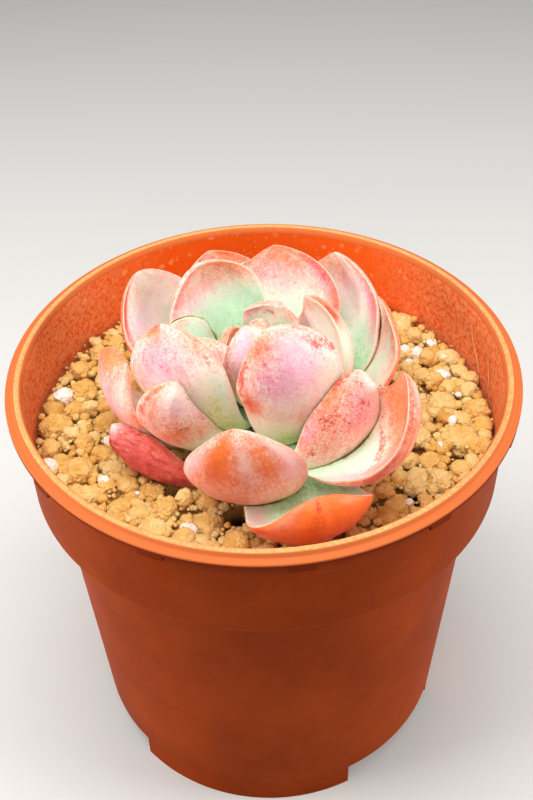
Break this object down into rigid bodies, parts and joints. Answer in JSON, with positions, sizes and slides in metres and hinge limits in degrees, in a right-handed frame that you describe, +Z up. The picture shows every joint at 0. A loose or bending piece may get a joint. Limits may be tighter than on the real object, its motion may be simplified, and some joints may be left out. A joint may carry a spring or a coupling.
{
  "type": "potted echeveria succulent",
  "caption": "Rosette succulent with plump pastel pink and mint leaves, planted in gritty ochre soil in a thin-walled orange nursery pot that stands on a flat surface.",
  "frame": {"origin": "centre of the circle that the pot's three feet stand on", "axes": "+Z up, -Y towards the front of the rosette as pictured, +X to its right"},
  "size_m": [0.09, 0.09, 0.1056],
  "materials": {
    "leaf": "waxy satin, pink to mint with orange-red flecks",
    "stem": "matte green-brown",
    "perlite": "matte",
    "soil": "matte, rough grit",
    "pot": "satin, lightly scuffed"
  },
  "bodies": {
    "root": {"stem": "stem", "leaf_01": "leaf", "leaf_02": "leaf", "leaf_03": "leaf", "leaf_04": "leaf", "leaf_05": "leaf", "leaf_06": "leaf", "leaf_07": "leaf", "leaf_08": "leaf", "leaf_09": "leaf", "leaf_10": "leaf", "leaf_11": "leaf", "leaf_12": "leaf", "leaf_13": "leaf", "leaf_14": "leaf", "leaf_15": "leaf", "leaf_16": "leaf", "leaf_17": "leaf", "leaf_18": "leaf", "leaf_19": "leaf", "leaf_20": "leaf", "leaf_21": "leaf", "leaf_22": "leaf", "leaf_23": "leaf", "leaf_24": "leaf", "leaf_25": "leaf", "perlite_1": "perlite", "perlite_2": "perlite", "perlite_3": "perlite", "perlite_4": "perlite", "perlite_5": "perlite", "perlite_6": "perlite", "soil": "soil", "pot": "pot"}
  },
  "joints": []
}
